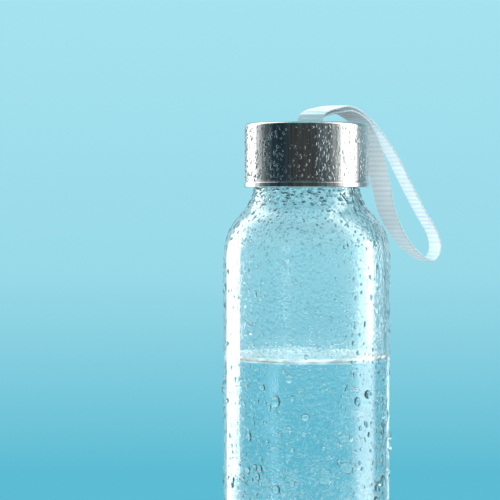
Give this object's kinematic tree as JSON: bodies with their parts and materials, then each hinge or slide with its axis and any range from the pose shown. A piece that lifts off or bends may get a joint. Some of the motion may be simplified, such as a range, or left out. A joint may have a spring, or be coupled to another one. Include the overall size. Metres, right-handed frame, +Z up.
{
  "type": "water bottle",
  "caption": "Clear glass water bottle with a rounded shoulder, a brushed steel screw cap with a rolled hem, and a woven carrying loop through a slot in the cap.",
  "frame": {"origin": "centre of the bottle's flat base, on the surface that it stands on", "axes": "+Z up along the bottle's axis, +X along the slot in the cap towards the side that the loop hangs on, +Y to the back, where the loop falls"},
  "size_m": [0.0902, 0.0816, 0.2222],
  "materials": {
    "clear_glass": "clear, polished",
    "soft_seal": "soft, matt",
    "liner_plastic": "clear, smooth",
    "cap_steel": "upright brushed, bright",
    "pin_steel": "drawn wire",
    "woven_strap": "ribbed woven nylon"
  },
  "bodies": {
    "bottle": {"glass_bottle": "clear_glass"},
    "seal": {"sealing_ring": "soft_seal"},
    "cap": {"cap_liner": "liner_plastic", "cap_shell": "cap_steel", "strap_pin": "pin_steel", "strap_tail": "woven_strap"},
    "strap": {"strap_loop": "woven_strap"}
  },
  "joints": [
    {"name": "cap_lift", "type": "slide", "parent": "bottle", "child": "seal", "axis": [0, 0, 1], "range_m": [0, 0.0251]},
    {"name": "cap_turn", "type": "hinge", "parent": "seal", "child": "cap", "pos_m": [0, 0, 0.2], "axis": [0, 0, 1], "range_deg": [0, 1800]},
    {"name": "strap_swing", "type": "hinge", "parent": "cap", "child": "strap", "pos_m": [0.00155, 0, 0.2163], "axis": [1, 0, 0], "range_deg": [0, 100]}
  ],
  "couplings": [
    {"joint": "cap_lift", "follows": "cap_turn", "m_per_rad": 0.00079577}
  ]
}
